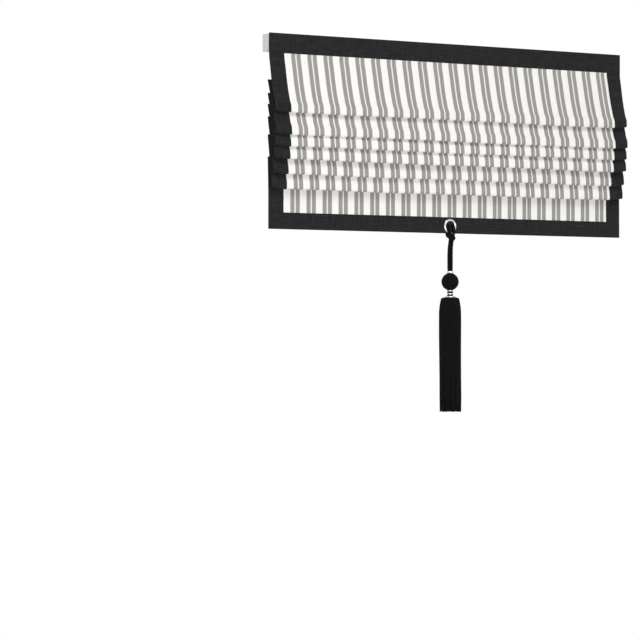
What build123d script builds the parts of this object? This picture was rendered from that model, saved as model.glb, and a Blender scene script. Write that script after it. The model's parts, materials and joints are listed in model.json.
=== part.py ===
from build123d import *
import os
from math import asin, atan2, cos, degrees, hypot, pi, sin, sqrt

# Roman blind, half raised: a bordered cloth in six folds on a headrail, with a tassel on its hem.
# Lengths are millimetres. X runs along the blind, Y into the wall and Z up.
# The origin is on the wall, in the middle of the four screw holes of the brackets.

# Cloth
blind_width = 1000.0
drop_height = 450.0
top_band_height = 46.0
bottom_band_height = 38.5
side_band_width = 40.5
cloth_thickness = 0.9
lining_thickness = 0.5
layer_gap = 0.3
lining_inset = 24.0
lining_hem = 2.0

# Folds, as shares of the height between the top and bottom bands and of the furthest reach
fold_reach = 36.0
pocket_setback = 6.0
hem_setback = 3.5
tip_radius = 4.5
pocket_radius = 1.0
top_bend_radius = 60.0
knee_radius = 60.0
top_bend_share = 0.006
knee_share = 0.87
pocket_rise_shares = (0.205, 0.26, 0.265, 0.265, 0.245, 0.2)
tip_reach_shares = (0.92, 1.0, 0.9, 0.79, 0.54, 0.35)
tip_drop_shares = (0.378, 0.517, 0.591, 0.67, 0.763, 0.856)

# Headrail, with its brackets and fastening tapes
rail_depth = 26.0
rail_height = 40.0
rail_wall = 1.3
rail_corner = 2.0
rail_slot = 15.0
cap_plate = 2.0
cap_plug = 9.0
cap_wall = 1.6
bracket_place_share = 0.7
bracket_width = 30.0
bracket_plate = 1.5
bracket_lip = 4.5
bracket_lip_thickness = 1.0
screw_spacing = 18.0
screw_radius = 2.4
top_cover = 0.5
fastening_height = 25.0
fastening_thickness = 1.3
fastening_inset = 12.0
fastening_drop = 10.0

# Lift gear
shaft_flats = 6.0
shaft_sides = 6
hub_radius = 4.9
barrel_radius = 5.6
coil_radius = 10.0
flange_rise = 0.8
flange_thickness = 1.5
tape_width = 8.6
tape_thickness = 0.2
tape_bend_radius = 3.0
tape_place_share = 0.78
cradle_wall = 2.5
cradle_floor = 2.0
cradle_shoulder = 4.0
motor_length = 92.0
motor_corner = 5.0
motor_place_share = 0.5
seat_gap = 0.2
running_gap = 0.3

# Rods, bottom bar and what rides on them
rod_radius = 2.0
pocket_wall = 0.6
rod_inset = 8.0
loop_wire = 1.4
loop_height = 2.0
loop_room = 0.9
bar_height = 22.0
bar_thickness = 3.0
bar_corner = 1.2
bar_inset = 36.0
bar_rise = 3.5
plug_length = 10.0
clip_wall = 1.8
clip_height = 13.0
clip_grip = 6.0

# Eyelet
eyelet_rise = 17.5
eyelet_bore_radius = 11.4
eyelet_rim = 5.8
eyelet_barrel_wall = 0.8
eyelet_dome = 2.2
eyelet_dome_edge = 0.5
eyelet_curl = 1.2
washer_thickness = 1.0

# Tassel
cord_radius = 3.05
cord_room = 0.4
cord_spread = 4.8
binding_width = 18.0
binding_depth = 14.0
binding_round = 2.6
hitch_drop = 31.0
hitch_length = 15.0
cord_drop = 106.5
collar_radius = 9.0
collar_height = 6.0
collar_dish = 3.0
collar_round = 2.0
ball_radius = 20.6
ball_seat_radius = 6.5
neck_height = 18.0
neck_radius = 14.0
neck_waist_share = 0.4
neck_bead_height = 3.4
neck_bead_place_shares = (0.1, 0.5)
neck_bead_radius_shares = (0.64, 0.59)
neck_foot = 3.2
neck_foot_round = 1.0
neck_flare = 3.6
skirt_length = 271.0
skirt_radius = 26.0
skirt_strands = 28
skirt_shoulder = 33.0
skirt_shoulder_shares = (0.0, 0.42, 1.0)
skirt_radius_shares = (0.71, 0.91, 1.0)
strand_radius = 3.1

# Levels of the headrail and the cloth
overrun = 5.0
rail_back = -bracket_plate
rail_front = rail_back - rail_depth
rail_y = (rail_back + rail_front) / 2
rail_top = rail_height / 2
rail_bottom = -rail_height / 2
lip_top = rail_bottom + rail_wall
cloth_top = rail_top + bracket_plate + top_cover
layers = cloth_thickness + layer_gap + lining_thickness
cloth_front = rail_front - 2 * fastening_thickness - layers
top_seam = cloth_top - top_band_height
hem = cloth_top - drop_height
bottom_seam = hem + bottom_band_height
fold_zone = top_seam - bottom_seam
pocket_front = cloth_front + pocket_setback
hem_front = cloth_front + hem_setback
hem_back = hem_front + layers
face_width = blind_width - 2 * side_band_width
lining_width = blind_width - 2 * lining_inset
lining_top = cloth_top - lining_hem
lining_bottom = hem + lining_hem

# Places of the rods, the lift tapes and the bar
pocket_outer = rod_radius + running_gap + pocket_wall
rod_y = pocket_front + layers - pocket_wall / 2 + pocket_outer
loop_front = rod_y + pocket_outer + running_gap
tape_y = loop_front + loop_wire + loop_room
tape_places = [share * blind_width / 2 for share in (-tape_place_share, 0, tape_place_share)]
side_names = ("left", "centre", "right")
rail_length = blind_width - 2 * cap_plate
shaft_y = rail_y
shaft_corner = shaft_flats / 2 / cos(pi / shaft_sides)
bar_pocket_height = bar_height + 2 * running_gap + 2 * pocket_wall
bar_pocket_depth = bar_thickness + 2 * running_gap + 2 * pocket_wall
bar_y = hem_back + bar_pocket_depth / 2
bar_z = bottom_seam + bar_rise + bar_pocket_height / 2
bar_length = blind_width - 2 * bar_inset
clip_front = hem_back + bar_pocket_depth + running_gap
clip_top = bar_z + bar_height / 2
tape_end = clip_top - clip_grip

# Places along the tassel
eyelet_z = hem + eyelet_rise
eyelet_hole = eyelet_bore_radius + eyelet_barrel_wall + running_gap
eyelet_front = hem_front - eyelet_dome
eyelet_back = hem_back + washer_thickness + eyelet_barrel_wall
tassel_y = (eyelet_front + eyelet_back) / 2
collar_top = eyelet_z - cord_drop
ball_seat = sqrt(ball_radius**2 - ball_seat_radius**2)
ball_z = collar_top - collar_height - ball_seat
neck_top = ball_z - ball_seat
skirt_top = neck_top - neck_height
tassel_plane = Plane((0, tassel_y, 0), x_dir=(1, 0, 0), z_dir=(0, -1, 0))
tassel_axis = Axis((0, tassel_y, 0), (0, 0, 1))


# The fold line runs down the front of the cloth like a thread round pins.
# Each pin is (y, z, radius): it turns the line left where the radius is positive and right where it isn't.
tips = [
    (
        cloth_front - reach * fold_reach + tip_radius,
        top_seam - drop * fold_zone + tip_radius,
        tip_radius,
    )
    for reach, drop in zip(tip_reach_shares, tip_drop_shares)
]
pockets = [
    (
        pocket_front - pocket_radius,
        top_seam - (drop - rise) * fold_zone,
        -pocket_radius,
    )
    for drop, rise in zip(tip_drop_shares, pocket_rise_shares)
]
folds = [pin for fold in zip(tips, pockets) for pin in fold]
top_bend = (cloth_front - top_bend_radius, top_seam - top_bend_share * fold_zone, -top_bend_radius)
knee = (hem_front + knee_radius, top_seam - knee_share * fold_zone, knee_radius)


def fold_line(top, bottom):
    return [(cloth_front, top, 0), top_bend, *folds, knee, (hem_front, bottom, 0)]


def straight_runs(pins, shift):
    runs = []
    for (y1, z1, turn1), (y2, z2, turn2) in zip(pins, pins[1:]):
        near = turn1 - shift
        far = turn2 - shift
        lean = asin((far - near) / hypot(y2 - y1, z2 - z1))
        heading = atan2(z2 - z1, y2 - y1) - lean
        start = (y1 + near * sin(heading), z1 - near * cos(heading))
        end = (y2 + far * sin(heading), z2 - far * cos(heading))
        runs.append((start, end, heading))
    return runs


def draw_line(runs, pins, shift):
    for (start, end, heading), (_, _, turned), (_, _, turn) in zip(runs, runs[1:], pins[1:]):
        swing = (turned - heading) % (2 * pi)
        if turn < shift:
            swing -= 2 * pi
        Line(start, end)
        JernArc(end, (cos(heading), sin(heading)), abs(turn - shift), degrees(swing))
    Line(runs[-1][0], runs[-1][1])


def strip_outline(pins, near, far):
    near_runs = straight_runs(pins, near)
    far_runs = straight_runs(pins, far)
    with BuildLine() as outline:
        draw_line(near_runs, pins, near)
        draw_line(far_runs, pins, far)
        Line(near_runs[0][0], far_runs[0][0])
        Line(near_runs[-1][1], far_runs[-1][1])
    make_face(outline.edges())


def save(piece, name):
    piece.part.label = name
    export_step(piece.part, f"parts/{name}.step")


os.makedirs("parts", exist_ok=True)

# Headrail: an extruded channel, open along its underside
with BuildPart() as headrail:
    with BuildSketch(Plane.YZ):
        with Locations((rail_y, 0)):
            RectangleRounded(rail_depth, rail_height, rail_corner)
            Rectangle(rail_depth - 2 * rail_wall, rail_height - 2 * rail_wall, mode=Mode.SUBTRACT)
        with Locations((rail_y, rail_bottom)):
            Rectangle(rail_slot, 2 * rail_wall + overrun, mode=Mode.SUBTRACT)
    extrude(amount=rail_length / 2, both=True)
save(headrail, "headrail")

# End caps: a plate over the end of the rail, a hollow plug inside it and a boss for the shaft
boss_radius = shaft_corner + running_gap + cap_wall
for name, side in (("end_cap_left", -1), ("end_cap_right", 1)):
    end_plane = Plane((side * rail_length / 2, rail_y, 0), x_dir=(0, side, 0), z_dir=(side, 0, 0))
    plug_depth = rail_depth - 2 * (rail_wall + seat_gap)
    plug_height = rail_height - 2 * (rail_wall + seat_gap)
    with BuildPart() as cap:
        with BuildSketch(end_plane):
            RectangleRounded(rail_depth, rail_height, rail_corner)
        extrude(amount=cap_plate)
        with BuildSketch(end_plane):
            Rectangle(plug_depth, plug_height)
            Rectangle(plug_depth - 2 * cap_wall, plug_height - 2 * cap_wall, mode=Mode.SUBTRACT)
            Circle(boss_radius)
            Circle(shaft_corner + running_gap, mode=Mode.SUBTRACT)
        extrude(amount=-cap_plug)
    save(cap, name)

# Wall brackets: a screwed plate, an arm over the rail with a lip in front, and a catch under the rail
catch_depth = (rail_depth - rail_slot) / 2 - rail_wall
for name, side in (("wall_bracket_left", -1), ("wall_bracket_right", 1)):
    bracket_x = side * bracket_place_share * blind_width / 2
    with BuildPart() as bracket:
        with BuildSketch(Plane.YZ.offset(bracket_x)):
            with BuildLine():
                Polyline(
                    (0, rail_top + bracket_plate),
                    (rail_front - bracket_lip_thickness, rail_top + bracket_plate),
                    (rail_front - bracket_lip_thickness, rail_top - bracket_lip),
                    (rail_front, rail_top - bracket_lip),
                    (rail_front, rail_top),
                    (rail_back, rail_top),
                    (rail_back, rail_bottom),
                    (rail_back - catch_depth, rail_bottom),
                    (rail_back - catch_depth, rail_bottom - bracket_plate),
                    (0, rail_bottom - bracket_plate),
                    close=True,
                )
            make_face()
        extrude(amount=bracket_width / 2, both=True)
        with BuildSketch(Plane((bracket_x, 0, 0), x_dir=(1, 0, 0), z_dir=(0, -1, 0))):
            with GridLocations(0, screw_spacing, 1, 2):
                Circle(screw_radius)
        extrude(amount=bracket_plate, mode=Mode.SUBTRACT)
    save(bracket, name)

# Fastening tapes: hooks on the rail, loops on the top of the cloth
fastening_z = rail_top - fastening_drop - fastening_height / 2
for name, front in (
    ("hook_tape", rail_front - fastening_thickness),
    ("loop_tape", rail_front - 2 * fastening_thickness),
):
    with BuildPart() as fastening:
        with BuildSketch(Plane.YZ):
            with Locations((front + fastening_thickness / 2, fastening_z)):
                Rectangle(fastening_thickness, fastening_height)
        extrude(amount=blind_width / 2 - fastening_inset, both=True)
    save(fastening, name)

# Cloth: the striped face between its four border bands
with BuildPart() as face_cloth:
    with BuildSketch(Plane.YZ):
        strip_outline(fold_line(top_seam, bottom_seam), 0, cloth_thickness)
    extrude(amount=face_width / 2, both=True)
save(face_cloth, "face_cloth")

with BuildPart() as band_top:
    with BuildSketch(Plane.YZ):
        with Locations((cloth_front + cloth_thickness / 2, (cloth_top + top_seam) / 2)):
            Rectangle(cloth_thickness, top_band_height)
    extrude(amount=blind_width / 2, both=True)
save(band_top, "band_top")

for name, side in (("side_band_left", -1), ("side_band_right", 1)):
    mitre = Plane(
        (side * face_width / 2, 0, bottom_seam),
        x_dir=(0, 1, 0),
        z_dir=(side * bottom_band_height, 0, side_band_width),
    )
    with BuildPart() as side_band:
        with BuildSketch(Plane.YZ.offset(side * face_width / 2)):
            strip_outline(fold_line(top_seam, hem), 0, cloth_thickness)
        extrude(amount=side * side_band_width)
        split(bisect_by=mitre, keep=Keep.TOP)
    save(side_band, name)

hem_plane = Plane((0, hem_front, 0), x_dir=(1, 0, 0), z_dir=(0, -1, 0))
with BuildPart() as band_bottom:
    with BuildSketch(hem_plane):
        with BuildLine():
            Polyline(
                (-blind_width / 2, hem),
                (blind_width / 2, hem),
                (face_width / 2, bottom_seam),
                (-face_width / 2, bottom_seam),
                close=True,
            )
        make_face()
        with Locations((0, eyelet_z)):
            Circle(eyelet_hole, mode=Mode.SUBTRACT)
    extrude(amount=-cloth_thickness)
save(band_bottom, "band_bottom")

# Lining: follows the back of the cloth, with a sewn pocket for each rod and one for the bar
with BuildPart() as lining:
    with BuildSketch(Plane.YZ):
        strip_outline(fold_line(lining_top, lining_bottom), cloth_thickness + layer_gap, layers)
        with Locations(*[(rod_y, z) for _, z, _ in pockets]):
            Circle(pocket_outer)
            Circle(pocket_outer - pocket_wall, mode=Mode.SUBTRACT)
        with Locations((bar_y, bar_z)):
            Rectangle(bar_pocket_depth, bar_pocket_height)
            Rectangle(
                bar_pocket_depth - 2 * pocket_wall,
                bar_pocket_height - 2 * pocket_wall,
                mode=Mode.SUBTRACT,
            )
    extrude(amount=lining_width / 2, both=True)
    with BuildSketch(hem_plane):
        with Locations((0, eyelet_z)):
            Circle(eyelet_hole)
    extrude(amount=-layers - overrun, mode=Mode.SUBTRACT)
save(lining, "lining")

# Rods, each with three loops that hold it to the lift tapes
for number, (_, pocket_z, _) in enumerate(pockets, 1):
    with BuildPart() as fold_rod:
        with BuildSketch(Plane.YZ):
            with Locations((rod_y, pocket_z)):
                Circle(rod_radius)
        extrude(amount=lining_width / 2 - rod_inset, both=True)
    save(fold_rod, f"fold_rod_{number}")

    slot_width = tape_width + 2 * loop_room
    slot_depth = tape_thickness + 2 * loop_room
    with BuildPart() as rod_loops:
        with BuildSketch(Plane.XY.offset(pocket_z - loop_height / 2)):
            with Locations(*[(x, tape_y + tape_thickness / 2) for x in tape_places]):
                RectangleRounded(slot_width + 2 * loop_wire, slot_depth + 2 * loop_wire, loop_wire)
                Rectangle(slot_width, slot_depth, mode=Mode.SUBTRACT)
        extrude(amount=loop_height)
    save(rod_loops, f"rod_loops_{number}")

# Lift gear: a six-sided shaft through three spools, their cradles and the spring motor
with BuildPart() as lift_shaft:
    with BuildSketch(Plane.YZ):
        with Locations((shaft_y, 0)):
            RegularPolygon(shaft_flats / 2, shaft_sides, major_radius=False)
    extrude(amount=rail_length / 2 - running_gap, both=True)
save(lift_shaft, "lift_shaft")

flange_radius = coil_radius + flange_rise
barrel_length = tape_width + 2 * running_gap
spool_length = barrel_length + 2 * flange_thickness
cradle_inside = spool_length + 2 * running_gap
cradle_length = cradle_inside + 2 * cradle_wall
cradle_depth = rail_depth - 2 * (rail_wall + seat_gap)
cradle_top = hub_radius + cradle_shoulder
floor_top = lip_top + cradle_floor
mouth_reach = loop_room + running_gap
mouth_depth = tape_thickness + 2 * mouth_reach
for name, x in zip(side_names, tape_places):
    shaft_plane = Plane((x, shaft_y, 0), x_dir=(0, 1, 0), z_dir=(1, 0, 0))
    with BuildPart() as tape_spool:
        with BuildSketch(shaft_plane):
            Circle(hub_radius)
        extrude(amount=cradle_length / 2, both=True)
        with BuildSketch(shaft_plane):
            Circle(flange_radius)
        extrude(amount=spool_length / 2, both=True)
        with BuildSketch(shaft_plane):
            Circle(flange_radius)
            Circle(barrel_radius, mode=Mode.SUBTRACT)
        extrude(amount=barrel_length / 2, both=True, mode=Mode.SUBTRACT)
        with BuildSketch(shaft_plane):
            RegularPolygon(shaft_flats / 2 + seat_gap, shaft_sides, major_radius=False)
        extrude(amount=cradle_length, both=True, mode=Mode.SUBTRACT)
    save(tape_spool, f"tape_spool_{name}")

    with BuildPart() as tape_coil:
        with BuildSketch(shaft_plane):
            Circle(coil_radius)
            Circle(barrel_radius, mode=Mode.SUBTRACT)
        extrude(amount=tape_width / 2, both=True)
    save(tape_coil, f"tape_coil_{name}")

    with BuildPart() as cradle:
        with BuildSketch(Plane.YZ.offset(x)):
            with Locations((rail_y, (lip_top + cradle_top) / 2)):
                Rectangle(cradle_depth, cradle_top - lip_top)
        extrude(amount=cradle_length / 2, both=True)
        with BuildSketch(Plane.YZ.offset(x)):
            with Locations((rail_y, floor_top)):
                Rectangle(cradle_depth, cradle_top - floor_top, align=(Align.CENTER, Align.MIN))
        extrude(amount=cradle_inside / 2, both=True, mode=Mode.SUBTRACT)
        with BuildSketch(shaft_plane):
            Circle(hub_radius + running_gap)
        extrude(amount=cradle_length, both=True, mode=Mode.SUBTRACT)
        with BuildSketch(Plane.XY.offset(lip_top)):
            with Locations((x, tape_y + tape_thickness / 2)):
                SlotOverall(tape_width + 2 * mouth_reach + mouth_depth, mouth_depth)
        extrude(amount=cradle_floor, mode=Mode.SUBTRACT)
    save(cradle, f"spool_cradle_{name}")

    # The tape leaves the front of its coil, bends over the lip of the cradle and hangs to its clip
    tape_line = [
        (shaft_y, 0, coil_radius + running_gap + tape_thickness),
        (tape_y - tape_bend_radius, floor_top, -tape_bend_radius),
        (tape_y, tape_end, 0),
    ]
    with BuildPart() as lift_tape:
        with BuildSketch(Plane.YZ.offset(x)):
            strip_outline(tape_line, 0, tape_thickness)
        extrude(amount=tape_width / 2, both=True)
    save(lift_tape, f"lift_tape_{name}")

motor_x = tape_places[-1] * motor_place_share
motor_height = rail_height - 2 * rail_wall - seat_gap
with BuildPart() as spring_motor:
    with BuildSketch(Plane.XY.offset(lip_top)):
        with Locations((motor_x, rail_y)):
            RectangleRounded(motor_length, cradle_depth, motor_corner)
    extrude(amount=motor_height)
    with BuildSketch(Plane.YZ.offset(motor_x)):
        with Locations((shaft_y, 0)):
            Circle(shaft_corner + running_gap)
    extrude(amount=motor_length, both=True, mode=Mode.SUBTRACT)
save(spring_motor, "spring_motor")

# Bottom bar in its pocket, with plugs over its ends
with BuildPart() as bottom_bar:
    with BuildSketch(Plane.YZ):
        with Locations((bar_y, bar_z)):
            RectangleRounded(bar_thickness, bar_height, bar_corner)
    extrude(amount=bar_length / 2, both=True)
save(bottom_bar, "bottom_bar")

bar_plane = Plane((0, bar_y + bar_thickness / 2, bar_z), x_dir=(1, 0, 0), z_dir=(0, -1, 0))
for name, side, outer in (("bar_plug_left", -1, 0), ("bar_plug_right", 1, -1)):
    with BuildPart() as bar_plug:
        with BuildSketch(bar_plane) as plug_outline:
            with Locations((side * (bar_length + plug_length) / 2, 0)):
                Rectangle(plug_length, bar_height)
            fillet(plug_outline.vertices().group_by(Axis.X)[outer], plug_length / 2)
        extrude(amount=bar_thickness)
    save(bar_plug, name)

# Clips: grip the lower ends of the lift tapes and sit on the back of the bar's pocket
clip_back = tape_y + tape_thickness + running_gap + clip_wall
clip_width = tape_width + 2 * (running_gap + clip_wall)
with BuildPart() as tape_clips:
    with BuildSketch(Plane.XY.offset(clip_top - clip_height)):
        with Locations(*[(x, (clip_front + clip_back) / 2) for x in tape_places]):
            RectangleRounded(clip_width, clip_back - clip_front, clip_wall)
    extrude(amount=clip_height)
    with BuildSketch(Plane.XY.offset(tape_end - running_gap)):
        with Locations(*[(x, tape_y + tape_thickness / 2) for x in tape_places]):
            Rectangle(tape_width + 2 * running_gap, tape_thickness + 2 * running_gap)
    extrude(amount=clip_grip + overrun, mode=Mode.SUBTRACT)
save(tape_clips, "tape_clips")

# Eyelet: a domed ring in front, its barrel through the cloth and a curled edge over a washer behind
eyelet_axis = Axis((0, 0, eyelet_z), (0, 1, 0))
barrel_outside = eyelet_bore_radius + eyelet_barrel_wall
rim_outside = eyelet_bore_radius + eyelet_rim
rim_middle = (eyelet_bore_radius + rim_outside) / 2
washer_back = hem_back + washer_thickness
with BuildPart() as eyelet:
    with BuildSketch(Plane.YZ):
        with BuildLine():
            Polyline(
                (hem_front - eyelet_dome_edge, eyelet_z + rim_outside),
                (hem_front, eyelet_z + rim_outside),
                (hem_front, eyelet_z + barrel_outside),
                (washer_back, eyelet_z + barrel_outside),
                (washer_back, eyelet_z + barrel_outside + eyelet_curl),
                (eyelet_back, eyelet_z + barrel_outside + eyelet_curl),
                (eyelet_back, eyelet_z + eyelet_bore_radius),
                (hem_front - eyelet_dome_edge, eyelet_z + eyelet_bore_radius),
            )
            ThreePointArc(
                (hem_front - eyelet_dome_edge, eyelet_z + eyelet_bore_radius),
                (eyelet_front, eyelet_z + rim_middle),
                (hem_front - eyelet_dome_edge, eyelet_z + rim_outside),
            )
        make_face()
    revolve(axis=eyelet_axis)
save(eyelet, "eyelet")

with BuildPart() as eyelet_washer:
    with BuildSketch(Plane((0, hem_back, eyelet_z), x_dir=(1, 0, 0), z_dir=(0, 1, 0))):
        Circle(rim_outside)
        Circle(eyelet_hole, mode=Mode.SUBTRACT)
    extrude(amount=washer_thickness)
save(eyelet_washer, "eyelet_washer")

# Tassel cord: doubled, hitched round the hem through the eyelet and bound by its own turn below it
loop_front_y = eyelet_front - cord_room - cord_radius
loop_back_y = eyelet_back + cord_room + cord_radius
loop_half = (loop_back_y - loop_front_y) / 2
loop_turn = loop_half - running_gap
loop_top = eyelet_z - eyelet_bore_radius - cord_room + loop_half
hitch_top = eyelet_z - hitch_drop + hitch_length / 2
hitch_z = eyelet_z - hitch_drop
hitch_end = eyelet_z - hitch_drop - hitch_length
strand_x = cord_radius - running_gap / 2
with BuildPart() as tassel_cord:
    with BuildSketch(Plane.XY.offset(hitch_z - cord_radius)):
        with Locations((0, tassel_y)):
            SlotOverall(binding_width, binding_depth)
    extrude(amount=2 * cord_radius)
    fillet(tassel_cord.edges().group_by(Axis.Z)[0] + tassel_cord.edges().group_by(Axis.Z)[-1], binding_round)
    for side in (-1, 1):
        with BuildLine():
            FilletPolyline(
                (side * strand_x, tassel_y, collar_top),
                (side * strand_x, tassel_y, hitch_end),
                (side * cord_spread, loop_front_y, hitch_top),
                (side * cord_spread, loop_front_y, loop_top),
                (side * cord_spread, loop_back_y, loop_top),
                (side * cord_spread, loop_back_y, hitch_top),
                (side * strand_x, tassel_y, hitch_end),
                radius=(2 * hitch_length, hitch_length, loop_turn, loop_turn, hitch_length),
            )
        with BuildSketch(Plane((side * strand_x, tassel_y, collar_top))):
            Circle(cord_radius)
        sweep()
save(tassel_cord, "tassel_cord")

# Collar: a turned ring with a dish that the end of the cord sits in
dish_radius = hypot(strand_x + cord_radius, collar_dish) + running_gap
with BuildPart() as tassel_collar:
    with BuildSketch(tassel_plane):
        with Locations((collar_radius / 2, collar_top - collar_height / 2)):
            Rectangle(collar_radius, collar_height)
        with Locations((0, collar_top + collar_dish)):
            Circle(dish_radius, mode=Mode.SUBTRACT)
    revolve(axis=tassel_axis)
    fillet(tassel_collar.edges().filter_by(GeomType.CIRCLE).group_by(SortBy.RADIUS)[-1], collar_round)
save(tassel_collar, "tassel_collar")

# Ball, flattened where the collar and the neck sit on it
with BuildPart() as tassel_ball:
    with BuildSketch(tassel_plane):
        with BuildLine():
            Polyline(
                (ball_seat_radius, ball_z + ball_seat),
                (0, ball_z + ball_seat),
                (0, ball_z - ball_seat),
                (ball_seat_radius, ball_z - ball_seat),
            )
            ThreePointArc(
                (ball_seat_radius, ball_z - ball_seat),
                (ball_radius, ball_z),
                (ball_seat_radius, ball_z + ball_seat),
            )
        make_face()
    revolve(axis=tassel_axis)
save(tassel_ball, "tassel_ball")

# Neck: a turned spindle with two beads over a wide foot
neck_waist = neck_waist_share * neck_radius
with BuildPart() as tassel_neck:
    with BuildSketch(tassel_plane):
        with Locations((0, skirt_top)):
            Rectangle(2 * neck_waist, neck_height, align=(Align.CENTER, Align.MIN))
            RectangleRounded(2 * neck_radius, neck_foot, neck_foot_round, align=(Align.CENTER, Align.MIN))
        for place, spread in zip(neck_bead_place_shares, neck_bead_radius_shares):
            with Locations((0, neck_top - place * neck_height)):
                SlotOverall(2 * spread * neck_radius, neck_bead_height)
        with BuildLine():
            flare_foot = neck_waist + neck_flare
            flare_base = skirt_top + neck_foot
            Line((neck_waist, flare_base + neck_flare), (neck_waist, flare_base))
            Line((neck_waist, flare_base), (flare_foot, flare_base))
            RadiusArc((flare_foot, flare_base), (neck_waist, flare_base + neck_flare), neck_flare)
        make_face()
        with Locations((-neck_radius, neck_top)):
            Rectangle(2 * neck_radius, 2 * neck_height + 2 * neck_bead_height, mode=Mode.SUBTRACT)
        with Locations((0, neck_top)):
            Rectangle(2 * neck_radius, neck_bead_height, align=(Align.CENTER, Align.MIN), mode=Mode.SUBTRACT)
    revolve(axis=tassel_axis)
save(tassel_neck, "tassel_neck")

# Skirt: a ring of hanging strands that spreads over a round shoulder
strand_share = strand_radius / skirt_radius
with BuildPart() as tassel_skirt:
    for drop, spread in zip(skirt_shoulder_shares, skirt_radius_shares):
        with BuildSketch(Plane((0, tassel_y, skirt_top - drop * skirt_shoulder))):
            reach = spread * skirt_radius
            Circle(reach * (1 - strand_share))
            with PolarLocations(reach * (1 - strand_share), skirt_strands):
                Circle(reach * strand_share)
    loft()
    with BuildSketch(Plane((0, tassel_y, skirt_top - skirt_shoulder))):
        Circle(skirt_radius - strand_radius)
        with PolarLocations(skirt_radius - strand_radius, skirt_strands):
            Circle(strand_radius)
    extrude(amount=skirt_shoulder - skirt_length)
save(tassel_skirt, "tassel_skirt")
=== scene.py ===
import bpy
import json
import numpy as np
from math import asin, atan2, cos, exp, hypot, pi, radians, sin
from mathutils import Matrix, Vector


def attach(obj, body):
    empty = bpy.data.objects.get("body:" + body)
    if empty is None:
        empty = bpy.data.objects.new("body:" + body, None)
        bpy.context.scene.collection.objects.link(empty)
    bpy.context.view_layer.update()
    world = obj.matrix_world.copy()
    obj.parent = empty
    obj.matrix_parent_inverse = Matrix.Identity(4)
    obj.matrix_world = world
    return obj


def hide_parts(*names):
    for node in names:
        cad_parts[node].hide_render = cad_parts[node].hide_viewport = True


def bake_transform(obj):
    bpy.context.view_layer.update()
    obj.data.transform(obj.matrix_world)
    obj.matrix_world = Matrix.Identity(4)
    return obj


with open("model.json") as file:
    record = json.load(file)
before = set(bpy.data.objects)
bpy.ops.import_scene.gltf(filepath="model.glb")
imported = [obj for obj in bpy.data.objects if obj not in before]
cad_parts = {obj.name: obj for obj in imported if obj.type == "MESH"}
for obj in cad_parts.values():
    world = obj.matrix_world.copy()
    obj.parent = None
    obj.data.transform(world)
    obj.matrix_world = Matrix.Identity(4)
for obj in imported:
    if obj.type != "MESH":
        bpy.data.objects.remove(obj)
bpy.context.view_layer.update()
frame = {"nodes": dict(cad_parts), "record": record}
nodes = frame["nodes"]
scene = bpy.context.scene
scene.view_settings.view_transform = "Standard"
mm = 0.001


# small helpers for node trees

def addNode(tree, kind, **settings):
    node = tree.nodes.new(kind)
    for key, value in settings.items():
        setattr(node, key, value)
    return node


def feed(tree, socket, value):
    if isinstance(value, (int, float, tuple)):
        socket.default_value = value
    else:
        tree.links.new(value, socket)


def calc(tree, operation, first, second=0.0, third=0.0):
    node = addNode(tree, "ShaderNodeMath", operation=operation)
    feed(tree, node.inputs[0], first)
    feed(tree, node.inputs[1], second)
    feed(tree, node.inputs[2], third)
    return node.outputs[0]


def mixColour(tree, factor, first, second, blend="MIX"):
    node = addNode(tree, "ShaderNodeMix", data_type="RGBA", blend_type=blend)
    feed(tree, node.inputs[0], factor)
    feed(tree, node.inputs[6], first)
    feed(tree, node.inputs[7], second)
    return node.outputs[2]


def smoothMask(tree, value, low, high):
    node = addNode(tree, "ShaderNodeMapRange", interpolation_type="SMOOTHSTEP")
    feed(tree, node.inputs["Value"], value)
    feed(tree, node.inputs["From Min"], low)
    feed(tree, node.inputs["From Max"], high)
    return node.outputs["Result"]


def noiseAt(tree, vector, scale, detail=2.0, rough=0.5):
    node = addNode(tree, "ShaderNodeTexNoise")
    feed(tree, node.inputs["Vector"], vector)
    feed(tree, node.inputs["Scale"], scale)
    feed(tree, node.inputs["Detail"], detail)
    feed(tree, node.inputs["Roughness"], rough)
    return node.outputs["Fac"]


def stretch(tree, vector, x, y, z):
    node = addNode(tree, "ShaderNodeCombineXYZ")
    feed(tree, node.inputs[0], x)
    feed(tree, node.inputs[1], y)
    feed(tree, node.inputs[2], z)
    times = addNode(tree, "ShaderNodeVectorMath", operation="MULTIPLY")
    tree.links.new(vector, times.inputs[0])
    tree.links.new(node.outputs[0], times.inputs[1])
    return times.outputs[0]


def newGroup(name, ins, outs):
    tree = bpy.data.node_groups.new(name, "ShaderNodeTree")
    for label, kind, value in ins:
        socket = tree.interface.new_socket(name=label, in_out="INPUT", socket_type=kind)
        if value is not None:
            socket.default_value = value
    for label, kind in outs:
        tree.interface.new_socket(name=label, in_out="OUTPUT", socket_type=kind)
    return tree, addNode(tree, "NodeGroupInput"), addNode(tree, "NodeGroupOutput")


def placeGroup(tree, group, vector, **values):
    node = addNode(tree, "ShaderNodeGroup", node_tree=group)
    tree.links.new(vector, node.inputs["Vector"])
    for label, value in values.items():
        feed(tree, node.inputs[label], value)
    return node


# shared effects

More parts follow.
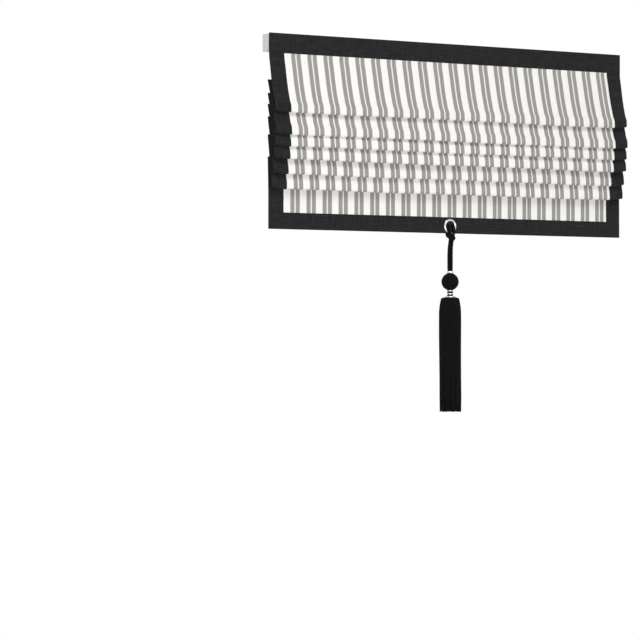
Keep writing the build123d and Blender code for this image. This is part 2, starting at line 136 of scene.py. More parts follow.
def makeWeave():  # over and under threads, with slubs that run along the warp
    ins = [("Vector", "NodeSocketVector", None), ("Warp", "NodeSocketFloat", 1200.0),
           ("Weft", "NodeSocketFloat", 1000.0), ("Slub", "NodeSocketFloat", 0.5)]
    outs = [("Height", "NodeSocketFloat"), ("Tone", "NodeSocketFloat"), ("Over", "NodeSocketFloat")]
    tree, start, end = newGroup("clothWeave", ins, outs)
    split = addNode(tree, "ShaderNodeSeparateXYZ")
    tree.links.new(start.outputs["Vector"], split.inputs[0])
    across = calc(tree, "MULTIPLY", split.outputs[0], start.outputs["Warp"])
    down = calc(tree, "MULTIPLY", split.outputs[1], start.outputs["Weft"])
    warp = calc(tree, "ABSOLUTE", calc(tree, "SINE", calc(tree, "MULTIPLY", across, pi)))
    weft = calc(tree, "ABSOLUTE", calc(tree, "SINE", calc(tree, "MULTIPLY", down, pi)))
    both = calc(tree, "ADD", calc(tree, "FLOOR", across), calc(tree, "FLOOR", down))
    over = calc(tree, "PINGPONG", both, 1.0)
    raised = calc(tree, "MULTIPLY", warp, calc(tree, "ADD", calc(tree, "MULTIPLY", over, 0.5), 0.5))
    sunk = calc(tree, "MULTIPLY", weft, calc(tree, "SUBTRACT", 1.0, calc(tree, "MULTIPLY", over, 0.5)))
    height = calc(tree, "MAXIMUM", raised, sunk)
    slubs = noiseAt(tree, stretch(tree, start.outputs["Vector"], 420.0, 26.0, 1.0), 1.0, 3.0)
    runs = noiseAt(tree, stretch(tree, start.outputs["Vector"], 30.0, 380.0, 1.0), 1.0, 2.0)
    drift = calc(tree, "SUBTRACT", calc(tree, "ADD", slubs, runs), 1.0)
    tone = calc(tree, "ADD", 1.0, calc(tree, "MULTIPLY", drift, start.outputs["Slub"]))
    tree.links.new(height, end.inputs["Height"])
    tree.links.new(tone, end.inputs["Tone"])
    tree.links.new(over, end.inputs["Over"])
    return tree


def makeGrain():  # fine orange peel or moulding grain with a slow drift of tone
    ins = [("Vector", "NodeSocketVector", None), ("Scale", "NodeSocketFloat", 900.0),
           ("Drift", "NodeSocketFloat", 0.05)]
    outs = [("Height", "NodeSocketFloat"), ("Tone", "NodeSocketFloat"), ("Rough", "NodeSocketFloat")]
    tree, start, end = newGroup("surfaceGrain", ins, outs)
    fine = noiseAt(tree, start.outputs["Vector"], start.outputs["Scale"], 3.0, 0.6)
    slow = noiseAt(tree, start.outputs["Vector"], 14.0, 2.0)
    tone = calc(tree, "ADD", 1.0, calc(tree, "MULTIPLY", calc(tree, "SUBTRACT", slow, 0.5), start.outputs["Drift"]))
    tree.links.new(fine, end.inputs["Height"])
    tree.links.new(tone, end.inputs["Tone"])
    rough = calc(tree, "ADD", calc(tree, "MULTIPLY", fine, 0.5), calc(tree, "MULTIPLY", slow, 0.5))
    tree.links.new(rough, end.inputs["Rough"])
    return tree


def makeBrushed():  # drawn or polished metal: hair lines along one way
    ins = [("Vector", "NodeSocketVector", None), ("Along", "NodeSocketVector", (4.0, 1500.0, 1500.0)),
           ("Depth", "NodeSocketFloat", 1.0)]
    outs = [("Height", "NodeSocketFloat"), ("Rough", "NodeSocketFloat"), ("Tone", "NodeSocketFloat")]
    tree, start, end = newGroup("metalLines", ins, outs)
    times = addNode(tree, "ShaderNodeVectorMath", operation="MULTIPLY")
    tree.links.new(start.outputs["Vector"], times.inputs[0])
    tree.links.new(start.outputs["Along"], times.inputs[1])
    lines = noiseAt(tree, times.outputs[0], 1.0, 3.0, 0.55)
    smear = noiseAt(tree, start.outputs["Vector"], 45.0, 3.0, 0.6)
    tree.links.new(calc(tree, "MULTIPLY", lines, start.outputs["Depth"]), end.inputs["Height"])
    rough = calc(tree, "ADD", calc(tree, "MULTIPLY", lines, 0.6), calc(tree, "MULTIPLY", smear, 0.4))
    tree.links.new(rough, end.inputs["Rough"])
    tree.links.new(calc(tree, "ADD", 0.94, calc(tree, "MULTIPLY", smear, 0.12)), end.inputs["Tone"])
    return tree


def makeYarn():  # twisted yarn: plies that slant round a cord, with loose fibre, and painted shade in the grooves between plies and a painted highlight on their crests
    ins = [("Vector", "NodeSocketVector", None), ("Plies", "NodeSocketFloat", 6.0),
           ("Turns", "NodeSocketFloat", 260.0), ("Fuzz", "NodeSocketFloat", 0.4)]
    outs = [("Height", "NodeSocketFloat"), ("Tone", "NodeSocketFloat")]
    tree, start, end = newGroup("twistedYarn", ins, outs)
    split = addNode(tree, "ShaderNodeSeparateXYZ")
    tree.links.new(start.outputs["Vector"], split.inputs[0])
    turn = calc(tree, "MULTIPLY", split.outputs[1], start.outputs["Turns"])
    around = calc(tree, "MULTIPLY", split.outputs[0], start.outputs["Plies"])
    ridge = calc(tree, "ABSOLUTE", calc(tree, "SINE", calc(tree, "MULTIPLY", calc(tree, "ADD", turn, around), pi)))
    fibre = noiseAt(tree, stretch(tree, start.outputs["Vector"], 40.0, 900.0, 1.0), 1.0, 3.0, 0.6)
    height = calc(tree, "ADD", ridge, calc(tree, "MULTIPLY", fibre, start.outputs["Fuzz"]))
    loose = calc(tree, "ADD", 0.45, calc(tree, "MULTIPLY", fibre, 0.4))
    # the tone follows the ply ridge: painted highlight on the crests, painted shade in the grooves; the loose fibre
    # varies at random
    tone = calc(tree, "ADD", calc(tree, "MULTIPLY", ridge, 0.5), loose)
    tree.links.new(height, end.inputs["Height"])
    tree.links.new(tone, end.inputs["Tone"])
    return tree


clothWeave, surfaceGrain, metalLines, twistedYarn = makeWeave(), makeGrain(), makeBrushed(), makeYarn()


def newMaterial(name, **plain):
    material = bpy.data.materials.new(name)
    material.use_nodes = True
    tree = material.node_tree
    shader = tree.nodes["Principled BSDF"]
    for label, value in plain.items():
        shader.inputs[label.replace("_", " ")].default_value = value
    return material, tree, shader


def flatMap(tree):
    return addNode(tree, "ShaderNodeUVMap", uv_map="flat").outputs[0]


def solidMap(tree):
    return addNode(tree, "ShaderNodeTexCoord").outputs["Object"]


def tinted(tree, colour, tone):  # a colour times a tone that changes over the surface
    grey = addNode(tree, "ShaderNodeCombineColor")
    for socket in grey.inputs[:3]:
        tree.links.new(tone, socket)
    return mixColour(tree, 1.0, colour, grey.outputs[0], "MULTIPLY")


def bumpFrom(tree, shader, height, strength, distance):
    bump = addNode(tree, "ShaderNodeBump")
    bump.inputs["Strength"].default_value = strength
    bump.inputs["Distance"].default_value = distance
    tree.links.new(height, bump.inputs["Height"])
    tree.links.new(bump.outputs[0], shader.inputs["Normal"])


# finishes

stripeLook = {
    "repeat": 43.4 * mm,
    "firstEdge": -459.5 * mm,
    "bounds": (0.412, 0.661, 0.746, 0.997),  # grey from, to, grey from, to, as shares of the repeat
    "softness": 0.006,
    "white": (0.93, 0.925, 0.895, 1.0),
    "grey": (0.285, 0.268, 0.250, 1.0),
    "line": (0.86, 0.83, 0.79, 1.0),
    "pinPitch": 1.55 * mm,
    "pinLift": 0.22,
}


def makeStriped(look):
    material, tree, shader = newMaterial("stripedCloth", Roughness=0.85, Sheen_Weight=0.12, Specular_IOR_Level=0.2)
    flat = flatMap(tree)
    split = addNode(tree, "ShaderNodeSeparateXYZ")
    tree.links.new(flat, split.inputs[0])
    shifted = calc(tree, "SUBTRACT", split.outputs[0], look["firstEdge"])
    place = calc(tree, "FRACT", calc(tree, "DIVIDE", shifted, look["repeat"]))
    soft = look["softness"]
    first, second, third, fourth = look["bounds"]
    past = [smoothMask(tree, place, edge - soft, edge + soft) for edge in (first, second, third)]
    past.append(smoothMask(tree, place, fourth - soft, fourth))
    left, between, right = [calc(tree, "SUBTRACT", past[k], past[k + 1]) for k in range(3)]
    grey = calc(tree, "ADD", left, right)
    pins = calc(tree, "ABSOLUTE", calc(tree, "SINE", calc(tree, "MULTIPLY", split.outputs[0], pi / look["pinPitch"])))
    pins = calc(tree, "MULTIPLY", calc(tree, "POWER", pins, 4.0), look["pinLift"])
    colour = mixColour(tree, between, look["white"], look["line"])
    colour = mixColour(tree, grey, colour, mixColour(tree, pins, look["grey"], look["white"]))
    weave = placeGroup(tree, clothWeave, flat, Warp=1500.0, Weft=1150.0, Slub=0.1)
    tree.links.new(tinted(tree, colour, weave.outputs["Tone"]), shader.inputs["Base Color"])
    bumpFrom(tree, shader, weave.outputs["Height"], 0.25, 0.00025)
    return material


def makeCloth(name, colour, thread, warp, weft, slub, bump, gloss=0.2, sheen=0.1):
    material, tree, shader = newMaterial(name, Roughness=0.9, Sheen_Weight=sheen, Specular_IOR_Level=gloss)
    flat = flatMap(tree)
    weave = placeGroup(tree, clothWeave, flat, Warp=warp, Weft=weft, Slub=slub)
    threads = mixColour(tree, weave.outputs["Over"], colour, thread)
    tree.links.new(tinted(tree, threads, weave.outputs["Tone"]), shader.inputs["Base Color"])
    bumpFrom(tree, shader, weave.outputs["Height"], bump, 0.0004)
    return material


def makeCoated(name, colour, scale, rough, bump, drift=0.05):
    material, tree, shader = newMaterial(name, Specular_IOR_Level=0.45)
    grain = placeGroup(tree, surfaceGrain, solidMap(tree), Scale=scale, Drift=drift)
    tree.links.new(tinted(tree, colour, grain.outputs["Tone"]), shader.inputs["Base Color"])
    uneven = calc(tree, "ADD", rough, calc(tree, "MULTIPLY", grain.outputs["Rough"], 0.2))
    tree.links.new(uneven, shader.inputs["Roughness"])
    bumpFrom(tree, shader, grain.outputs["Height"], bump, 0.0002)
    return material


def makeMetal(name, colour, along, rough, spread, bump):
    material, tree, shader = newMaterial(name, Metallic=1.0)
    lines = placeGroup(tree, metalLines, solidMap(tree), Along=along)
    tree.links.new(tinted(tree, colour, lines.outputs["Tone"]), shader.inputs["Base Color"])
    uneven = calc(tree, "ADD", rough, calc(tree, "MULTIPLY", lines.outputs["Rough"], spread))
    tree.links.new(uneven, shader.inputs["Roughness"])
    bumpFrom(tree, shader, lines.outputs["Height"], bump, 0.0001)
    return material


def makeYarnFinish(name, colour, plies, turns, fuzz, bump, sheen):
    material, tree, shader = newMaterial(name, Roughness=0.7, Sheen_Weight=sheen, Specular_IOR_Level=0.1)
    yarn = placeGroup(tree, twistedYarn, flatMap(tree), Plies=plies, Turns=turns, Fuzz=fuzz)
    # the yarn tone brings painted shade in the ply grooves and a painted highlight on the crests into the base colour
    tree.links.new(tinted(tree, colour, yarn.outputs["Tone"]), shader.inputs["Base Color"])
    bumpFrom(tree, shader, yarn.outputs["Height"], bump, 0.0005)
    return material


stripedCloth = makeStriped(stripeLook)
charcoalCloth = makeCloth("charcoalCloth", (0.014, 0.0145, 0.015, 1), (0.025, 0.0255, 0.026, 1),
                          900.0, 800.0, 1.5, 0.5, 0.1, 0.04)
liningCloth = makeCloth("liningCloth", (0.80, 0.78, 0.72, 1), (0.86, 0.84, 0.79, 1), 1800.0, 1700.0, 0.08, 0.2)
tapeCloth = makeCloth("tapeCloth", (0.74, 0.74, 0.71, 1), (0.86, 0.86, 0.84, 1), 1400.0, 900.0, 0.15, 0.6)
railPaint = makeCoated("railPaint", (0.93, 0.93, 0.92, 1), 1400.0, 0.32, 0.12)
mouldedWhite = makeCoated("mouldedWhite", (0.91, 0.91, 0.90, 1), 800.0, 0.42, 0.1)
motorCase = makeCoated("motorCase", (0.10, 0.10, 0.105, 1), 700.0, 0.45, 0.2)
glassRod = makeCoated("glassRod", (0.72, 0.72, 0.68, 1), 500.0, 0.3, 0.1, 0.12)
hookPile = makeCloth("hookPile", (0.72, 0.72, 0.70, 1), (0.86, 0.86, 0.84, 1), 700.0, 700.0, 0.3, 0.9)
bracketSteel = makeMetal("bracketSteel", (0.62, 0.62, 0.63, 1), (6.0, 900.0, 900.0), 0.28, 0.25, 0.15)
shaftMetal = makeMetal("shaftMetal", (0.72, 0.72, 0.73, 1), (4.0, 1300.0, 1300.0), 0.25, 0.25, 0.2)
barMetal = makeMetal("barMetal", (0.70, 0.70, 0.71, 1), (5.0, 1100.0, 1100.0), 0.3, 0.25, 0.2)
chromePlate = makeMetal("chromePlate", (0.69, 0.69, 0.70, 1), (160.0, 160.0, 160.0), 0.03, 0.08, 0.02)
cordYarn = makeYarnFinish("cordYarn", (0.0028, 0.0028, 0.0042, 1), 7.0, 420.0, 0.5, 0.5, 0.01)
skirtYarn = makeYarnFinish("skirtYarn", (0.0026, 0.0024, 0.0036, 1), 3.0, 520.0, 0.6, 0.6, 0.01)
print("finishes made:", len(bpy.data.materials))

finishOf = {
    railPaint: ["headrail"],
    mouldedWhite: ["end_cap_left", "end_cap_right", "bar_plug_left", "bar_plug_right", "tape_clips"]
    + [f"rod_loops_{k}" for k in range(1, 7)]
    + [f"{kind}_{side}" for kind in ("tape_spool", "spool_cradle") for side in ("left", "centre", "right")],
    bracketSteel: ["wall_bracket_left", "wall_bracket_right"],
    glassRod: [f"fold_rod_{k}" for k in range(1, 7)],
    shaftMetal: ["lift_shaft"],
    barMetal: ["bottom_bar"],
    motorCase: ["spring_motor"],
    chromePlate: ["eyelet", "eyelet_washer", "tassel_collar", "tassel_neck"],
}
for finish, names in finishOf.items():
    for name in names:
        nodes[name].data.materials.clear()
        nodes[name].data.materials.append(finish)


# mesh helpers

def addPiece(name, mesh, finish):
    piece = bpy.data.objects.new(name, mesh)
    scene.collection.objects.link(piece)
    mesh.materials.append(finish)
    return piece


def closeMesh(mesh, uvs, sharp=50):
    layer = mesh.uv_layers.new(name="flat")
    corners = np.empty(len(mesh.loops), int)
    mesh.loops.foreach_get("vertex_index", corners)
    layer.data.foreach_set("uv", uvs[corners % len(uvs)].astype(np.float32).ravel())
    mesh.polygons.foreach_set("use_smooth", np.ones(len(mesh.polygons), bool))
    mesh.set_sharp_from_angle(angle=radians(sharp))
    mesh.update()
    return mesh


def shellMesh(name, front, back, uvs):  # a closed sheet from two grids of rows by columns
    rows, columns = front.shape[:2]
    count = rows * columns
    grid = np.arange(count).reshape(rows, columns)
    a, b, c, d = grid[:-1, :-1], grid[:-1, 1:], grid[1:, 1:], grid[1:, :-1]
    near = np.stack([a, d, c, b], -1).reshape(-1, 4)
    far = np.stack([a, b, c, d], -1).reshape(-1, 4) + count
    rim = np.concatenate([grid[0, :-1], grid[:-1, -1], grid[-1, :0:-1], grid[:0:-1, 0]])
    after = np.roll(rim, -1)
    edge = np.stack([rim, after, after + count, rim + count], -1)
    mesh = bpy.data.meshes.new(name)
    points = np.concatenate([front.reshape(-1, 3), back.reshape(-1, 3)])
    mesh.from_pydata(points.tolist(), [], np.concatenate([near, far, edge]).tolist())
    return closeMesh(mesh, uvs.reshape(-1, 2))


def ringMesh(name, rings, uvs):  # a tube from rings of points, closed at both ends
    rows, columns = rings.shape[:2]
    grid = np.arange(rows * columns).reshape(rows, columns)
    turned = np.roll(grid, -1, axis=1)
    faces = np.stack([grid[:-1], turned[:-1], turned[1:], grid[1:]], -1).reshape(-1, 4).tolist()
    faces += [grid[0, ::-1].tolist(), grid[-1].tolist()]
    mesh = bpy.data.meshes.new(name)
    mesh.from_pydata(rings.reshape(-1, 3).tolist(), [], faces)
    return closeMesh(mesh, uvs.reshape(-1, 2), 60)


def pathFrames(points):  # steady side vectors along a line
    steps = np.gradient(points, axis=0)
    steps /= np.linalg.norm(steps, axis=1)[:, None]
    side = np.cross(steps[0], (0.31, 0.9, 0.29))
    sides = []
    for step in steps:
        side = side - step * (side @ step)
        side /= np.linalg.norm(side)
        sides.append(side)
    sides = np.array(sides)
    return steps, sides, np.cross(steps, sides)


# cloth in its folds

clothShape = {
    "halfWidth": 500.0,
    "faceHalf": 459.5,
    "front": -31.8,
    "hemFront": -28.3,
    "top": 22.0,
    "topSeam": -24.0,
    "bottomSeam": -389.5,
    "hem": -428.0,
    "thickness": 0.9,
    "liningFrom": 1.2,
    "liningTo": 1.7,
    "liningHalf": 476.0,
    "liningTop": 20.0,
    "liningBottom": -426.0,
    "reach": 36.0,
    "tipReach": (0.92, 1.0, 0.9, 0.79, 0.54, 0.35),
    "tipDrop": (0.378, 0.517, 0.591, 0.67, 0.763, 0.856),
    "tipRadius": 4.5,
    "pocketRadius": 1.0,
    "pocketRise": (0.205, 0.26, 0.265, 0.265, 0.245, 0.2),
    "pocketFront": -25.8,
    "topBend": (60.0, 0.006),
    "knee": (60.0, 0.87),
    "curlBack": 5.0,      # how far the outer corners of a fold pull back
    "curlRise": 3.5,
    "curlWidth": 15.0,
    "wave": 0.7,          # slow waves along a fold
    "bulge": (-2.0, 2.0, 1.8, 1.5, 1.0, 0.7),
    "belly": (2.4, 2.6, 2.2, 2.0, 1.4, 1.0),  # the round of the cloth just above each tip
    "bellyHigh": 24.0,
    "seamDip": 0.35,
    "tipLap": 0.006,      # how much later, as a share of the lift, a returning strip starts than its tip
    "pocketLap": 0.001,
}
foldZone = clothShape["topSeam"] - clothShape["bottomSeam"]
waveSeed = np.random.default_rng(7)
wavePhase = waveSeed.uniform(0, 2 * pi, (6, 4))
wavePitch = waveSeed.uniform(0.8, 1.25, (6, 4)) * np.array([620.0, 330.0, 540.0, 260.0])


def foldPins(x, top, bottom):
    s = clothShape
    bend, bendDrop = s["topBend"]
    pins = [(s["front"], top, 0.0), (s["front"] - bend, s["topSeam"] - bendDrop * foldZone, -bend)]
    edge = exp(-(((s["halfWidth"] - abs(x)) / s["curlWidth"]) ** 2))
    for k in range(6):
        swell = [sin(2 * pi * x / wavePitch[k][i] + wavePhase[k][i]) for i in range(4)]
        out = s["tipReach"][k] * (s["reach"] - s["curlBack"] * edge) + s["wave"] * (swell[0] + 0.5 * swell[1])
        low = s["tipDrop"][k] * foldZone + 0.8 * s["wave"] * (swell[2] + 0.5 * swell[3]) - s["curlRise"] * edge
        pins.append((s["front"] - out + s["tipRadius"], s["topSeam"] - low + s["tipRadius"], s["tipRadius"]))
        pocketZ = s["topSeam"] - (s["tipDrop"][k] - s["pocketRise"][k]) * foldZone
        pins.append((s["pocketFront"] - s["pocketRadius"], pocketZ, -s["pocketRadius"]))
    pins.append((s["hemFront"] + s["knee"][0], s["topSeam"] - s["knee"][1] * foldZone, s["knee"][0]))
    pins.append((s["hemFront"], bottom, 0.0))
    return pins


def foldRows(x, shift, top, bottom):  # one thread of the cloth, and where its tips and pockets turn
    pins = foldPins(x, top, bottom)
    runs = []
    for (y1, z1, turn1), (y2, z2, turn2) in zip(pins, pins[1:]):
        near, far = turn1 - shift, turn2 - shift
        heading = atan2(z2 - z1, y2 - y1) - asin((far - near) / hypot(y2 - y1, z2 - z1))
        begin = (y1 + near * sin(heading), z1 - near * cos(heading))
        finish = (y2 + far * sin(heading), z2 - far * cos(heading))
        runs.append((begin, finish, heading))
    rows, turns = [], []
    for i, (begin, finish, heading) in enumerate(runs):
        fold = (i - 1) // 2
        steps = 20 if 0 < i < 13 else 6
        bulge = clothShape["bulge"][min(fold, 5)] if 0 < i < 13 else 0.0
        belly = clothShape["belly"][min(fold, 5)] if 0 < i < 13 and i % 2 else 0.0
        low = 1 - clothShape["bellyHigh"] / hypot(finish[0] - begin[0], finish[1] - begin[1])
        forward = 1 if i % 2 else -1
        for j in range(steps):
            t = j / steps
            puff = forward * bulge * sin(pi * t) ** 2 + belly * sin(pi * max(0.0, t - low) / (1 - low)) ** 2
            rows.append((begin[0] + t * (finish[0] - begin[0]) + puff * sin(heading),
                         begin[1] + t * (finish[1] - begin[1]) - puff * cos(heading)))
        if i == len(runs) - 1:
            rows.append(finish)
            break
        y, z, turn = pins[i + 1]
        swing = (runs[i + 1][2] - heading) % (2 * pi)
        if turn < shift:
            swing -= 2 * pi
        arc = 18 if i in (1, 3, 5, 7, 9, 11) else 8
        if 0 < i < 13:
            turns.append(len(rows) + arc // 2)
        for j in range(arc):
            angle = swing * j / arc
            dy, dz = finish[0] - y, finish[1] - z
            rows.append((y + dy * cos(angle) - dz * sin(angle), z + dy * sin(angle) + dz * cos(angle)))
    return np.array(rows), turns


def clothGrid(columns, shiftOf, top, bottom):
    grid = np.array([[(x, *point) for point in foldRows(x, shiftOf(x), top, bottom)[0]] for x in columns])
    return grid.transpose(1, 0, 2)


middleRows, turnRows = foldRows(0.0, 0.45, clothShape["topSeam"], clothShape["bottomSeam"])
rowLength = np.concatenate([[0], np.cumsum(np.linalg.norm(np.diff(middleRows, axis=0), axis=1))])
gathered = rowLength - (clothShape["topSeam"] - middleRows[:, 1])
rodShare = [c["ratio"] for c in frame["record"]["behaviour"]["couplings"] if c["joint"].startswith("rod_")] + [1.0]
follow = [0.0]  # the share of the lift that each tip and pocket takes
for i, row in enumerate(turnRows):
    follow.append(rodShare[i // 2] if i % 2 else gathered[row] / gathered[turnRows[-1]])


def easeBack(weight):  # where the smooth step of a blend reaches this weight
    return 0.5 - sin(asin(1 - 2 * min(max(weight, 0.0), 1.0)) / 3)


# tuck shifts where the strips of a back layer are cut; the lags only go into a travel worked out for each strip that is
# not put to use
def cutStrips(name, front, back, finish, replaced, lags=((0.0, 0.0),) * 6, tuck=0):
    bounds = [0] + turnRows + [len(rowLength) - 1]
    edges = [row + tuck * (k % 2) if row < bounds[-1] else row for k, row in enumerate(bounds)]
    strips = []
    for i, (first, last) in enumerate(zip(bounds, bounds[1:])):
        rows = slice(edges[i], edges[i + 1] + 1)
        uvs = np.stack([front[rows, :, 0], np.repeat(-rowLength[rows, None], front.shape[1], 1)], -1) * mm
        mesh = shellMesh(f"{name}{i + 1}", front[rows] * mm, back[rows] * mm, uvs)
        strip = addPiece(f"{name}{i + 1}", mesh, finish)
        middle = front.shape[1] // 2
        if last == bounds[-1]:
            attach(strip, "bottom")
        else:
            begin = (front[first, middle] + back[first, middle]) / 2
            end = (front[last, middle] + back[last, middle]) / 2
            late, later = lags[i // 2] if i % 2 else (0.0, 0.0)
            lap = clothShape["tipLap"] if i % 2 else clothShape["pocketLap"]
            t0 = easeBack(follow[i] - lap - late if i else 0.0)
            t1 = easeBack(follow[i + 1] - later)
            way = (end - begin) / (t1 - t0)
            way[0] = 0.0
            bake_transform(strip)
        length = rowLength[last] - rowLength[first]
        strips.append((strip, length))
    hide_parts(*replaced)
    return strips


def faceShift(x):
    return clothShape["seamDip"] * exp(-(((clothShape["faceHalf"] - abs(x)) / 1.3) ** 2))


faceEdge = np.array([456.5, 458.0, 459.0, 459.5])
faceColumns = np.concatenate([-faceEdge[::-1], np.linspace(-452, 452, 49), faceEdge])
bandColumns = np.array([459.5, 460.2, 461.5, 465, 470, 475, 480, 485, 489, 492.5, 495.5, 498, 499.3, 500.0])
topZ, seamZ = clothShape["topSeam"], clothShape["bottomSeam"]

faceFront = clothGrid(faceColumns, faceShift, topZ, seamZ)
faceBack = clothGrid(faceColumns, lambda x: clothShape["thickness"], topZ, seamZ)
for strip, length in cutStrips("faceCloth", faceFront, faceBack, stripedCloth, ["face_cloth"]):
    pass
print("face cloth folded")


def bandShift(x):
    inner = abs(x) - clothShape["faceHalf"]
    outer = clothShape["halfWidth"] - abs(x)
    turnedIn = 0.3 * exp(-((inner / 0.6) ** 2)) + 0.3 * exp(-((outer / 0.6) ** 2))
    return turnedIn - 0.12 * exp(-(((inner - 2.0) / 1.5) ** 2))


for side, name in ((-1, "sideBandLeft"), (1, "sideBandRight")):
    columns = np.sort(side * bandColumns)
    front = clothGrid(columns, bandShift, topZ, seamZ)
    back = clothGrid(columns, lambda x: clothShape["thickness"], topZ, seamZ)
    node = "side_band_left" if side < 0 else "side_band_right"
    for strip, length in cutStrips(name, front, back, charcoalCloth, [node]):
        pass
print("side bands folded")

liningColumns = np.linspace(-clothShape["liningHalf"], clothShape["liningHalf"], 51)
liningFront = clothGrid(liningColumns, lambda x: clothShape["liningFrom"], topZ, seamZ)
liningBack = clothGrid(liningColumns, lambda x: clothShape["liningTo"], topZ, seamZ)
liningLags = ((0.0062, 0.0062), (0.0048, 0.0048), (0.0048, 0.0048),
              (0.0056, 0.0056), (0.0078, 0.0078), (0.024, 0.012))  # at the tip and at the pocket of each fold
liningStrips = cutStrips("lining", liningFront, liningBack, liningCloth, ["lining"], liningLags, 9)
print("lining folded")


# flat hems and bands

def plateGrid(rows, halfWidth, y, columns):
    shares = np.unique(np.concatenate([np.linspace(-1, 1, columns), (-0.9985, -0.9965, 0.9965, 0.9985)]))
    return np.array([[(share * halfWidth(z), y(share * halfWidth(z), z), z) for share in shares] for z in rows])


def addPlate(name, rows, halfWidth, front, thickness, columns, finish, body):
    near = plateGrid(rows, halfWidth, front, columns)
    backY = front(0, (rows[0] + rows[-1]) / 2) + thickness
    far = plateGrid(rows, halfWidth, lambda x, z: backY, columns)
    uvs = np.stack([near[:, :, 0], near[:, :, 2]], -1) * mm
    piece = addPiece(name, shellMesh(name, near * mm, far * mm, uvs), finish)
    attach(piece, body)
    return piece


def rolled(top, bottom, y):  # a face that rounds back at its upper and lower edges
    def front(x, z):
        return y + 0.35 * exp(-(((top - z) / 0.7) ** 2)) + 0.35 * exp(-(((z - bottom) / 0.7) ** 2))
    return front


def bandRows(top, bottom):
    near = np.array([0.0, 0.4, 0.9, 1.8, 4.0])
    return np.concatenate([top - near, np.linspace(top - 8, bottom + 8, 6), (bottom + near)[::-1]])


def cutHole(piece, x, z, radius):
    angles = np.linspace(0, 2 * pi, 64, endpoint=False)
    rings = np.array([[(x + radius * cos(a), y, z + radius * sin(a)) for a in angles] for y in (-60.0, 0.0)]) * mm
    cutter = bpy.data.objects.new("holeCutter", ringMesh("holeCutter", rings, np.zeros((2, 64, 2))))
    scene.collection.objects.link(cutter)
    change = piece.modifiers.new("hole", "BOOLEAN")
    change.operation, change.solver, change.object = "DIFFERENCE", "EXACT", cutter
    bpy.context.view_layer.update()
    cut = bpy.data.meshes.new_from_object(piece.evaluated_get(bpy.context.evaluated_depsgraph_get()))
    piece.modifiers.clear()
    piece.data = cut
    bpy.data.objects.remove(cutter)


eyeletPlace = {"z": -410.5, "hole": 12.5}
thick, hem, hemFront = clothShape["thickness"], clothShape["hem"], clothShape["hemFront"]
bandTop = addPlate("bandTop", bandRows(clothShape["top"], topZ), lambda z: clothShape["halfWidth"],
                   rolled(clothShape["top"], topZ, clothShape["front"]),
                   thick, 41, charcoalCloth, "headrail")
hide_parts("band_top")


cornerShape = {"run": 40.3, "seamDip": 0.4, "seamWidth": 0.9, "gap": 0.15, "point": 0.3}


def mitre(z):
    return clothShape["faceHalf"] + (seamZ - z) / (seamZ - hem) * cornerShape["run"]


def mitred(front):  # sinks along the slanted corner seams
    c = cornerShape
    return lambda x, z: front(x, z) + c["seamDip"] * exp(-(((mitre(z) - abs(x)) / c["seamWidth"]) ** 2))


bandBottom = addPlate("bandBottom", bandRows(seamZ, hem), mitre, mitred(rolled(seamZ, hem, hemFront)),
                      thick, 81, charcoalCloth, "bottom")
cutHole(bandBottom, 0, eyeletPlace["z"], eyeletPlace["hole"])
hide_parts("band_bottom")

for side, name in ((-1, "bandCornerLeft"), (1, "bandCornerRight")):
    rows = bandRows(seamZ, hem)
    shares = np.array([0, 0.02, 0.05, 0.1, 0.2, 0.4, 0.6, 0.8, 1.0])
    corner = []
    for z in rows:
        inner = min(mitre(z) + cornerShape["gap"], clothShape["halfWidth"] - cornerShape["point"])
        corner.append([(side * (inner + (clothShape["halfWidth"] - inner) * share), z) for share in shares][::side])
    corner = np.array(corner)
    edged = mitred(rolled(seamZ + 50, hem, hemFront))  # rounded at the hem only
    near = np.array([[(x, edged(x, z), z) for x, z in line] for line in corner])
    far = np.array([[(x, hemFront + thick, z) for x, z in line] for line in corner])
    uvs = np.stack([near[:, :, 2], near[:, :, 0]], -1) * mm
    piece = addPiece(name, shellMesh(name, near * mm, far * mm, uvs), charcoalCloth)
    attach(piece, "bottom")

liningThick = 0.5
liningHead = addPlate("liningHead", np.linspace(clothShape["liningTop"], topZ, 8),
                      lambda z: clothShape["liningHalf"], lambda x, z: clothShape["front"] + clothShape["liningFrom"],
                      liningThick, 31, liningCloth, "headrail")
liningFoot = addPlate("liningFoot", np.linspace(seamZ, clothShape["liningBottom"], 8),
                      lambda z: clothShape["liningHalf"], lambda x, z: hemFront + clothShape["liningFrom"],
                      liningThick, 41, liningCloth, "bottom")
cutHole(liningFoot, 0, eyeletPlace["z"], eyeletPlace["hole"])

fasteningTape = {"half": 487.8, "top": 9.9, "bottom": -14.9, "edge": 2.0, "base": 0.6, "pile": 0.65}
for name, node, seat, way in (("hookTape", "hook_tape", -27.5, -1), ("loopTape", "loop_tape", -30.1, 1)):
    f = fasteningTape
    columns, rows = np.linspace(-f["half"], f["half"], 321), np.linspace(f["top"], f["bottom"], 33)
    inside = np.clip(np.minimum(f["top"] - rows, rows - f["bottom"]) - f["edge"], 0, 1)[:, None]
    tufts = np.random.default_rng(len(node)).uniform(0.6, 1.0, (33, 321))
    rise = f["base"] + f["pile"] * inside * tufts
    ground = np.stack(np.broadcast_arrays(columns[None, :], seat, rows[:, None]), -1).astype(float)
    piled = ground + rise[:, :, None] * np.array([0, way, 0])
    uvs = ground[:, :, [0, 2]] * mm
    sides = (piled, ground) if way < 0 else (ground, piled)
    tape = addPiece(name, shellMesh(name, sides[0] * mm, sides[1] * mm, uvs), hookPile)
    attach(tape, "headrail")
    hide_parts(node)
print("bands and hems laid")


# sewn pockets on the back of the lining

rodPocket = {"y": -21.5, "outer": 2.9, "wall": 0.6, "half": 476.0, "ripple": 0.12,
             "seamTurn": radians(105), "seams": (9.0, 8.6, 4.1, 7.0, 9.0, 10.5)}
barPocket = {"y": -24.2, "z": -374.1, "deep": 4.8, "high": 23.8, "wall": 0.6, "corner": 1.4}


